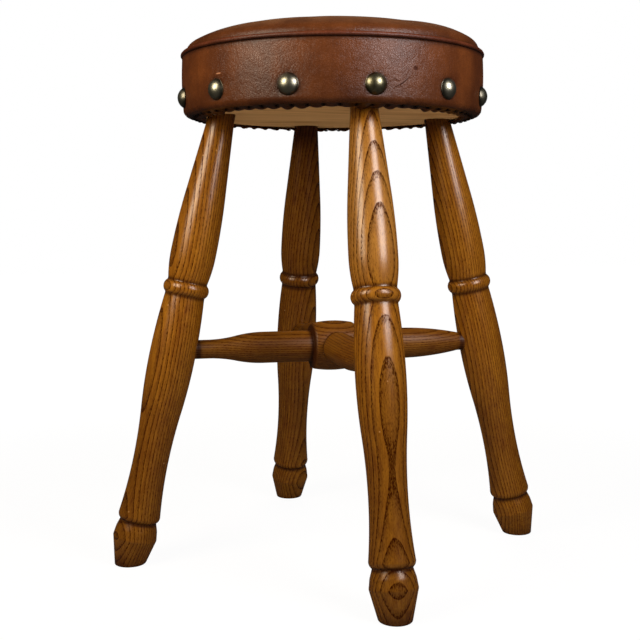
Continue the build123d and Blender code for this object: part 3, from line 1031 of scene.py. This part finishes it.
@dataclass
class Seat:
    """The upholstered seat: padded top, band, piping, dome nails, tacks and board.

    A set of waves is how often each comes round the seat, and its height.
    """

    leather: bpy.types.Material
    piping_leather: bpy.types.Material
    brass: bpy.types.Material
    pine: bpy.types.Material
    steel: bpy.types.Material
    seam: float = reach("leather_band", Axis.Z, End.HIGH)
    hem: float = reach("leather_band", Axis.Z, End.LOW)
    apex: float = reach("leather_top", Axis.Z, End.HIGH)
    rim_radius: float = reach("leather_top", Axis.X, End.HIGH)
    board_top: float = reach("seat_board", Axis.Z, End.HIGH)
    underside: float = reach("seat_board", Axis.Z, End.LOW)
    hem_inner: float = 140.75
    bend_radius: float = 8.0
    leather_thickness: float = 1.7
    seam_allowance: float = 7.0
    band_rows: int = 42
    band_columns: int = 960
    band_waves: tuple[Pair, ...] = ((3, 0.20), (5, 0.16), (8, 0.12), (13, 0.10), (23, 0.06))
    nail_count: int = 12
    nail_rise: float = 17.2
    nail_radius: float = 11.0
    nail_height: float = 7.0
    nail_wall: float = 0.9
    nail_shank: float = 1.2
    nail_length: float = 20.0
    nail_point: float = 4.0
    nail_sunk: float = 0.4
    nail_lean: float = 2.0
    nail_columns: int = 36
    dome_rings: int = 18
    brassy_nails: tuple[int, ...] = (0, 2, 5, 9)  # the others have paled
    brassy: float = 0.05  # how far a brassy nail has paled
    paled: float = 0.55
    tack_count: int = 60
    tack_inset: float = 11.5
    tack_hold: float = 4.5
    droop: float = 4.0
    bulge: float = 0.8
    taper: float = 0.7
    pucker: float = 0.4
    nail_dimple: float = 0.9
    dimple_width: float = 12.0
    piping_radius: float = 2.5
    piping_rows: int = 720
    piping_columns: int = 18
    piping_waves: tuple[Pair, ...] = ((4, 0.10), (9, 0.08), (31, 0.06), (57, 0.05))
    crown_side_radius: float = 116.0
    crown_rim_radius: float = 9.8
    crown_rim_slope: float = 29.1
    crown_top_radius: float = 2940.0
    proud: float = 0.7  # how far the filled pad stands above its solid
    full_side: float = 2.4  # the pad is fuller on one side, and this much higher there
    full_at: float = 125.0
    full_width: float = 45.0
    full_turn: float = -15.0
    swell_start: float = 3.5  # how much lower the pad starts before it is blown up
    swell_cap: float = 6.0
    swell_waves: tuple[Pair, ...] = ((2, 0.10), (3, 0.08), (5, 0.05))
    swell_reach: float = 60.0  # distance from the middle at which those waves are full
    swell_frames: int = 20
    swell_quality: int = 6
    swell_pressure: float = 4.0
    stretch_stiffness: float = 40.0
    bend_stiffness: float = 8.0
    uneven: float = 0.6  # how far the blown-up pad may depart from its crown
    pad_rings: int = 96
    pad_columns: int = 128
    pad_centre: float = 6.0  # radius of the first and the last ring
    seed: int = 11

    @staticmethod
    def band_outer() -> float:
        """Outer radius of the leather band."""
        return reach("leather_band", Axis.X, End.HIGH)

    def build(self) -> None:
        """Make the seat's pieces and dress the solids that stay."""
        self.build_top()
        self.build_band()
        self.build_piping()
        self.build_nails()
        for name, material in {"seat_board": self.pine, "hem_tacks": self.steel}.items():
            for slot in frame["nodes"][name].material_slots:
                slot.material = material
            log.info("%s: its solid, with a new finish", name)

    def crown(self) -> np.ndarray:
        """Crown from its apex out to the rim, as radius and height.

        Three arcs that run into each other: nearly flat on top, rounder at the side and small at
        the rim, where the outline is upright.
        """
        slope = math.radians(self.crown_rim_slope)
        side = self.crown_side_radius - self.crown_rim_radius
        top = self.crown_top_radius - self.crown_side_radius
        flat = math.asin((self.rim_radius - (side * math.sin(slope) + self.crown_rim_radius)) / top)
        top_centre = np.array([0.0, self.apex + self.proud - self.crown_top_radius])
        side_centre = top_centre + top * np.array([math.sin(flat), math.cos(flat)])
        rim_centre = side_centre + side * np.array([math.sin(slope), math.cos(slope)])
        arcs = (
            (top_centre, self.crown_top_radius, np.linspace(0, flat, 40)),
            (side_centre, self.crown_side_radius, np.linspace(flat, slope, 30)),
            (rim_centre, self.crown_rim_radius, np.linspace(slope, math.pi / 2, 24)),
        )
        return np.vstack([c + r * np.column_stack([np.sin(turn), np.cos(turn)]) for c, r, turn in arcs])

    def build_top(self) -> None:
        """Make the padded leather top.

        The outline is carried round the seat in rings: out from the apex along the crown, down the
        side and in under the pad, with a point that closes each end. On one side the pad is
        fuller, higher by a bell curve of the distance that way. It is then blown up as cloth.
        """
        base, rim = self.board_top + 0.5, self.rim_radius
        sewn = self.seam - self.seam_allowance
        below = [[rim, sewn], [rim, base], [rim - 30, base], [self.pad_centre, base]]
        lengths, outline = measure(np.vstack([self.crown(), below]))
        chosen = sample(np.linspace(self.pad_centre, lengths[-1], self.pad_rings), lengths, outline)
        radius, angle = np.meshgrid(chosen[:, 0], turns(self.pad_columns), indexing="ij")
        height = np.repeat(chosen[:, 1:], self.pad_columns, axis=1)
        beside = radius * np.cos(angle - math.radians(self.full_turn))
        lift = self.full_side * bell(beside - self.full_at, self.full_width)
        height += lift * np.clip((height - self.seam - 3) / 8, 0, 1)
        ends = np.array([[0.0, 0.0, chosen[0, 1]], [0.0, 0.0, base]])
        points, faces = close_rings(around(radius, angle, height), *ends, flip=True)
        # painted shade on the crown just above the piping and on the pad's side below the seam
        soil = bumps(points[:, 2], (self.seam + 4,), 2.5) * 0.35
        soil += 0.15 * np.clip((self.seam + 16 - points[:, 2]) / 8, 0, 1)
        pad = new_piece("padded_leather_top", points, faces, self.leather, soil=soil)
        self.blow_up(pad, points)
        smooth = pad.modifiers.new("smooth", "SUBSURF")
        smooth.levels = smooth.render_levels = 1
        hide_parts("leather_top", "seat_wadding", "seat_foam")

    def blow_up(self, pad: bpy.types.Object, points: np.ndarray) -> None:
        """Swell the pad as cloth under pressure, with its sewn edge and its base held.

        The pad starts lower by a share that grows from the rim to the middle and wanders slowly
        round the seat, as worn wadding does. Afterwards the movement is capped, and every ring
        moves as a whole so that its mean comes back to the crown. The unevenness stays, up to a
        limit.

        Args:
            pad: the pad's object.
            points: its corners in millimetres, ring by ring and then the two ends.
        """
        rng = np.random.default_rng(self.seed + 3)
        angle = np.arctan2(points[:, 1], points[:, 0])
        radius = np.hypot(points[:, 0], points[:, 1])
        held = points[:, 2] < self.seam + 5
        share = np.where(held, 0, np.clip(1 - radius / self.rim_radius, 0, 1) ** 0.5)
        worn = waves(rng, angle, self.swell_waves, radius / self.swell_reach)
        worn *= np.clip(radius / self.swell_reach, 0, 1)
        lowered = points.copy()
        lowered[:, 2] -= share * self.swell_start * (1 + worn)
        pad.data.vertices.foreach_set("co", (lowered * MM).astype(np.float32).ravel())
        group = pad.vertex_groups.new(name="held")
        group.add(np.flatnonzero(held).tolist(), 1.0, "REPLACE")
        cloth = pad.modifiers.new("swell", "CLOTH")
        settings = cloth.settings
        settings.quality = self.swell_quality
        settings.use_pressure = True
        settings.uniform_pressure_force = self.swell_pressure
        settings.tension_stiffness = settings.compression_stiffness = self.stretch_stiffness
        settings.bending_stiffness = self.bend_stiffness
        settings.vertex_group_mass = "held"
        settings.effector_weights.gravity = 0.0
        scene = bpy.context.scene
        for step in range(1, self.swell_frames + 1):
            scene.frame_set(step)
        graph = bpy.context.evaluated_depsgraph_get()
        swollen = np.empty(len(points) * 3, np.float32)
        pad.evaluated_get(graph).data.vertices.foreach_get("co", swollen)
        pad.modifiers.remove(cloth)
        pad.vertex_groups.clear()
        moved = swollen.reshape(-1, 3) / MM - lowered
        far = np.linalg.norm(moved, axis=1, keepdims=True)
        moved *= np.minimum(1, self.swell_cap / np.maximum(far, 1e-9))

        off = (lowered + moved - points)[:-2].reshape(self.pad_rings, self.pad_columns, 3)
        outward = np.column_stack([np.cos(angle), np.sin(angle), 0 * angle])[:-2].reshape(off.shape)
        mean_out = (off * outward).sum(-1).mean(1)
        off = off - mean_out[:, None, None] * outward
        off[..., 2] -= off[..., 2].mean(1, keepdims=True)
        found = np.abs(off).max()
        off *= min(1.0, self.uneven / max(found, 1e-9))
        final = points.copy()
        final[:-2] += off.reshape(-1, 3)
        log.info("pad swelled by %.1f mm, uneven by %.2f mm", moved[:, 2].max(), found)
        pad.data.vertices.foreach_set("co", (final * MM).astype(np.float32).ravel())
        pad.data.update()
        scene.frame_set(1)

    def build_band(self) -> None:
        """Make the leather band, turned under the board into a hem.

        The surface is an outline carried round the seat: down the wall, round the lower edge and
        in along the underside. It moves along its normal by the sum of slow waves, a hollow round
        each nail, a tuck at each tack and, on the hem's free edge, a droop between the tacks.
        """
        rng = np.random.default_rng(self.seed)
        outer = self.band_outer()
        wall = self.seam - (self.hem + self.bend_radius)
        bend = self.bend_radius * math.pi / 2
        flat = outer - self.bend_radius - self.hem_inner
        total = wall + bend + flat
        rows = np.linspace(0, total, self.band_rows)
        place, angle = np.meshgrid(rows, turns(self.band_columns), indexing="ij")
        turn = np.clip((place - wall) / self.bend_radius, 0, math.pi / 2)
        radius = outer - self.bend_radius * (1 - np.cos(turn)) - np.maximum(place - wall - bend, 0)
        height = self.seam - np.minimum(place, wall) - self.bend_radius * np.sin(turn)

        down = np.clip(place / wall, 0, 1)
        push = (waves(rng, angle, self.band_waves) + self.bulge) * np.sin(math.pi * down)
        push -= self.taper * down**2
        nail_level = self.underside + self.nail_rise
        from_nail = np.hypot(outer * from_nearest(angle, self.nail_count), height - nail_level)
        push -= self.nail_dimple * bell(from_nail, self.dimple_width) * (place < wall)

        between = np.sin(self.tack_count * angle / 2) ** 2
        push += self.pucker * bell(place - wall - bend * 0.65, 7.5) * (between - 0.6)
        tack_gap = 2 * math.pi / self.tack_count
        span = (angle / tack_gap).astype(int) % self.tack_count
        slump = rng.uniform(0.25, 1.0, self.tack_count)[span]
        beside_tack = (self.hem_inner + self.tack_inset) * from_nearest(angle, self.tack_count)
        held = bell(np.hypot(beside_tack, place - (total - self.tack_inset)), self.tack_hold)
        free = np.clip((place - wall - bend) / flat, 0, 1) ** 1.4
        push += self.droop * free * (0.18 + 0.82 * slump * np.sqrt(between)) * (1 - held)

        points = around(radius + push * np.cos(turn), angle, height - push * np.sin(turn))
        # painted shade: under the piping, towards the bottom of the wall, on the turned-under hem, round each
        # tack and round each nail's rim
        soil = bumps(place, (0.0,), 2.2) * 0.9
        soil += 0.30 * np.clip(place / wall * 2 - 0.9, 0, 1)
        soil += 0.20 * np.clip((place - wall - 2) / bend, 0, 1)
        soil += 0.45 * held
        soil += 0.35 * bell(from_nail - self.nail_radius, 2.0) * (place < wall)
        soil = np.clip(soil, 0, 0.92).ravel()
        faces = ring_faces(self.band_rows, self.band_columns)[:, ::-1].tolist()
        band = new_piece("wrapped_leather_band", points.reshape(-1, 3), faces, self.leather, soil=soil)
        thick = band.modifiers.new("thickness", "SOLIDIFY")
        thick.thickness = self.leather_thickness * MM
        thick.offset = -1.0
        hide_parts("leather_band")

    def build_piping(self) -> None:
        """Make the piping: a round tube along the seam, uneven by a quarter of a millimetre."""
        rng = np.random.default_rng(self.seed + 1)
        rows, columns = self.piping_rows, self.piping_columns
        centre = reach("piping_cover", Axis.X, End.HIGH) - self.piping_radius
        level = reach("piping_cover", Axis.Z, End.HIGH) - self.piping_radius
        along, tube = np.meshgrid(turns(rows), turns(columns), indexing="ij")
        uneven = waves(rng, along, self.piping_waves)
        radius = self.piping_radius + 0.6 * uneven
        out = centre + radius * np.cos(tube) + 0.5 * uneven
        points = around(out, along, level + radius * np.sin(tube))
        row, column = np.meshgrid(np.arange(rows), np.arange(columns), indexing="ij")
        here, ahead = row * columns, ((row + 1) % rows) * columns
        beside = (column + 1) % columns
        faces = np.stack([here + column, ahead + column, ahead + beside, here + beside], -1)
        faces = faces.reshape(-1, 4).tolist()
        # painted shade on the piping's lower half, with some soil
        soil = 0.75 * np.clip(0.25 - np.sin(tube), 0, 1).ravel()
        piping = new_piece("leather_piping", points.reshape(-1, 3), faces, self.piping_leather, soil=soil)
        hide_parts("piping_cover", "piping_cord")

    def build_nails(self) -> None:
        """Make the dome nails: thin spherical caps with a rolled edge, each on a pointed shank.

        The outline runs from the dome's pole to its rim, back under the cap to the shank and out
        to the point, as distance out from the band and radius. Each nail leans by a degree or two.
        """
        rng = np.random.default_rng(self.seed + 2)
        columns = self.nail_columns
        sphere = (self.nail_radius**2 + self.nail_height**2) / (2 * self.nail_height)
        inside = sphere - self.nail_wall
        centre = self.nail_height - sphere
        spread = math.asin(self.nail_radius / sphere)
        half_wall = self.nail_wall / 2
        dome = np.linspace(0.02, spread, self.dome_rings)
        lip = np.linspace(math.pi / 2 - spread, math.pi * 1.25 - spread, 7)[1:]
        lip_radii = self.nail_radius + half_wall * 0.5 * np.cos(lip) - half_wall * 0.2
        inner = np.linspace(spread, math.asin(self.nail_shank / inside), 8)
        outline = np.vstack(
            [
                np.column_stack([centre + sphere * np.cos(dome), sphere * np.sin(dome)]),
                np.column_stack([half_wall * 0.6 * (np.sin(lip) - 1), lip_radii]),
                np.column_stack([centre + inside * np.cos(inner), inside * np.sin(inner)]),
                [(-self.nail_length + self.nail_point, self.nail_shank), (-self.nail_length, 0.05)],
            ]
        )
        at_rim = outline[:, 1] > self.nail_radius * 0.9
        outline[at_rim, 0] = np.maximum(outline[at_rim, 0], 0)
        turn = turns(columns)
        out = np.repeat(outline[:, :1], columns, axis=1)
        ring = outline[:, 1:] * np.ones(columns)
        local = np.stack([out, ring * np.cos(turn), ring * np.sin(turn)], -1).reshape(-1, 3)
        rim = np.clip(ring / self.nail_radius, 0, 1)
        rim[self.dome_rings :] = 1.0
        rows = len(outline)
        faces = ring_faces(rows, columns)[:, ::-1]
        caps = np.vstack([np.arange(columns), (rows - 1) * columns + np.arange(columns)[::-1]])
        seat = np.array([self.band_outer() - self.nail_sunk, 0.0, self.underside + self.nail_rise])
        all_points, all_faces, all_pale = [], [], []
        for number in range(self.nail_count):
            lean = np.radians(rng.uniform(-self.nail_lean, self.nail_lean, 2))
            tilt = Matrix.Rotation(lean[0], 3, "Y") @ Matrix.Rotation(lean[1], 3, "Z")
            spin = Matrix.Rotation(2 * math.pi * number / self.nail_count, 3, "Z")
            all_points.append((local @ np.array(tilt).T + seat) @ np.array(spin).T)
            offset = number * rows * columns
            all_faces += (faces + offset).tolist() + (caps + offset).tolist()
            all_pale.append(np.full(rim.size, self.brassy if number in self.brassy_nails else self.paled))
        rims, pale = np.tile(rim.ravel(), self.nail_count), np.concatenate(all_pale)
        points = np.vstack(all_points)
        nails = new_piece("brass_dome_nails", points, all_faces, self.brass, rim=rims, pale=pale)
        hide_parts("dome_nails")


@dataclass
class Studio:
    """White floor and background, soft lamps, and the camera at the photograph's place."""

    camera_azimuth: float = -14.9164
    camera_distance: float = 1186.89
    camera_height: float = 380.44
    camera_yaw: float = 0.6771
    camera_pitch: float = -5.6063
    camera_roll: float = -0.1066
    focal_length: float = 59.097
    sensor_width: float = 36.0
    ambient: float = 0.06
    room: float = 0.006  # how bright the dim room is in reflections
    floor_half: float = 6000.0
    floor_glow: float = 0.93  # near the stool, where the rest is lit by the lamps and takes shadow
    glow_strength: float = 1.02
    glow_full: Pair = (400.0, 1300.0)  # distances over which the floor turns all white
    warm_light: str = "fff0d8"
    cool_light: str = "fdf6f8"
    lamp_aim: float = 320.0  # height that the lamps look at
    floor_bounce: str = "b8b8b8"
    floor_mirrored: str = "3c3c3c"  # the floor in reflections, as in a dim room
    mirrored_white: float = 0.01  # share of the white that reflections see, as in a dim room

    def build(self) -> None:
        """Make the camera, the lamps, the world and the floor."""
        self.build_camera()
        self.build_world()
        self.build_floor()
        self.add_lamp("softbox_left", -48.0, 820.0, 790.0, (440.0, 520.0), 6.4, self.warm_light)
        self.add_lamp("softbox_right", 42.0, 820.0, 790.0, (390.0, 520.0), 7.1, self.cool_light)
        fill = (1100.0, 700.0)
        self.add_lamp("back_fill", 180.0, 1100.0, 900.0, fill, 6.0, self.warm_light, mirrored=False)

    @staticmethod
    def stand(made: bpy.types.Object, *columns: np.ndarray) -> None:
        """Show an object, given its right, up and back directions and its place in metres."""
        pose = np.eye(4)
        pose[:3, :] = np.column_stack(columns)
        made.matrix_world = Matrix(pose.tolist())
        bpy.context.scene.collection.objects.link(made)

    def build_camera(self) -> None:
        """Set the camera up: at an azimuth, distance and height, then turned, tipped and rolled."""
        azimuth = math.radians(self.camera_azimuth)
        heading = azimuth + math.radians(self.camera_yaw)
        pitch, roll = math.radians(self.camera_pitch), math.radians(self.camera_roll)
        level = np.array([-math.sin(heading), math.cos(heading), 0.0])
        ahead = level * math.cos(pitch) + UP * math.sin(pitch)
        right = np.array([math.cos(heading), math.sin(heading), 0.0])
        up = np.cross(right, ahead)
        rolled_right = math.cos(roll) * right + math.sin(roll) * up
        rolled_up = math.cos(roll) * up - math.sin(roll) * right
        out = np.array([math.sin(azimuth), -math.cos(azimuth), 0.0])
        place = (out * self.camera_distance + UP * self.camera_height) * MM
        camera = bpy.data.objects.new("camera", bpy.data.cameras.new("camera"))
        camera.data.lens = self.focal_length
        camera.data.sensor_width = self.sensor_width
        camera.data.clip_start = 0.05
        self.stand(camera, rolled_right, rolled_up, -ahead, place)
        bpy.context.scene.camera = camera

    def seen(self, tree: bpy.types.NodeTree) -> bpy.types.Node:
        """How much of the white background a ray sees.

        The camera sees all of it, and so does a ray through glass. A reflection sees a small share
        of it, as in a dim room. Other light sees none of it.

        Args:
            tree: the tree of the world or of the floor.

        Returns:
            A node that gives a share from zero to one.
        """
        rays = add_node(tree, "LightPath").outputs
        mirrored = {0: rays["Is Glossy Ray"], 1: self.mirrored_white}
        clear = {0: rays["Is Camera Ray"], 1: rays["Is Transmission Ray"]}
        share = add_node(tree, "Math", mirrored, operation="MULTIPLY")
        full = add_node(tree, "Math", clear, operation="MAXIMUM")
        return add_node(tree, "Math", {0: full, 1: share}, operation="MAXIMUM")

    def build_world(self) -> None:
        """Make the world white to the eye and a weak even light to everything else."""
        world = bpy.data.worlds.new("studio")
        world.use_nodes = True
        tree = world.node_tree
        tree.nodes.clear()
        node = partial(add_node, tree)
        glossy = node("LightPath").outputs["Is Glossy Ray"]
        dim = node("MapRange", {0: glossy, 3: self.ambient, 4: self.room})
        strength = node("MapRange", {0: self.seen(tree), 3: dim, 4: 1.0})
        light = node("Background", {"Color": WHITE, "Strength": strength})
        node("OutputWorld", {"Surface": light})
        bpy.context.scene.world = world

    def build_floor(self) -> None:
        """Make a white floor that keeps a faint shadow and throws little light back up."""
        half = self.floor_half * MM
        mesh = bpy.data.meshes.new("floor")
        corners = [(-half, -half, 0), (half, -half, 0), (half, half, 0), (-half, half, 0)]
        mesh.from_pydata(corners, [], [(0, 1, 2, 3)])
        floor = bpy.data.objects.new("floor", mesh)
        bpy.context.scene.collection.objects.link(floor)
        made, tree, shader = new_material("white_floor")
        node = partial(add_node, tree)
        seen = self.seen(tree)
        colour = node("Mix", {0: seen, 6: self.floor_bounce, 7: WHITE}, **COLOUR)
        glossy = node("LightPath").outputs["Is Glossy Ray"]
        dimmed = node("Mix", {0: glossy, 6: colour, 7: self.floor_mirrored}, **COLOUR)
        feed(tree, shader, {"Base Color": dimmed, "Roughness": 1.0, "Specular IOR Level": 0.0})
        glow = node("Emission", {"Color": WHITE, "Strength": self.glow_strength})
        away = node("VectorMath", {0: node("TexCoord").outputs["Object"]}, operation="LENGTH")
        near, far = self.glow_full
        own = node("MapRange", {0: away, 1: near * MM, 2: far * MM, 3: self.floor_glow, 4: 1.0}, **SOFT)
        share = node("Math", {0: seen, 1: own}, operation="MULTIPLY")
        blend = node("MixShader", {0: share, 1: shader, 2: glow})
        feed(tree, tree.nodes["Material Output"], {"Surface": blend})
        mesh.materials.append(made)

    def add_lamp(
        self,
        name: str,
        turn: float,
        away: float,
        height: float,
        size: Pair,
        power: float,
        colour: str,
        mirrored: bool = True,
    ) -> None:
        """Add a soft rectangular lamp that looks at the middle of the stool.

        Args:
            name: the lamp's name.
            turn: its angle to the right of the camera, seen from the stool.
            away: its level distance from the stool's middle.
            height: its height above the floor.
            size: its width and height.
            power: its power in watts.
            colour: colour of its light.
            mirrored: whether shiny surfaces show it.
        """
        angle = math.radians(self.camera_azimuth + turn)
        place = np.array([away * math.sin(angle), -away * math.cos(angle), height]) * MM
        lamp = bpy.data.lights.new(name, "AREA")
        lamp.shape = "RECTANGLE"
        lamp.size, lamp.size_y = size[0] * MM, size[1] * MM
        lamp.energy = power
        lamp.color = linear(colour)[:3]
        back = place - UP * self.lamp_aim * MM
        back /= np.linalg.norm(back)
        right = np.cross(UP, back)
        right /= np.linalg.norm(right)
        made = bpy.data.objects.new(name, lamp)
        made.visible_camera = False
        made.visible_glossy = mirrored
        self.stand(made, right, np.cross(back, right), back, place)


def main() -> None:
    logging.basicConfig(level=logging.INFO, format="%(name)s: %(message)s")
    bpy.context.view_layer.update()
    bpy.context.scene.view_settings.view_transform = "Standard"
    marks = (
        Mark(211.7, 523.3, 9.0, 1.8, 0.0, "c98f6c", 0.8),
        Mark(284.5, 524.5, 6.5, 5.5, 0.0, "34150a", 0.85),
        Mark(280.2, 511.0, 17.0, 1.6, 40.0, "2c1208", 0.75),
        Mark(278.2, 507.5, 14.0, 1.4, 30.0, "2c1208", 0.7),
        Mark(277.2, 512.5, 9.0, 1.4, -25.0, "2c1208", 0.65),
    )
    piping = SaddleLeather(name="piping_leather", light="70381e", deep="552610", roughness=0.42)
    Legs(finish=VarnishedAsh().material()).build()
    Stretchers(finish=VarnishedAsh(name="dulled_ash", roughness=0.42, specular=0.3).material()).build()
    Seat(
        leather=SaddleLeather(marks=marks).material(),
        piping_leather=piping.material(),
        brass=AntiqueBrass().material(),
        pine=BarePine().material(),
        steel=BluedSteel().material(),
    ).build()
    Studio().build()


if __name__ == "__main__":
    main()
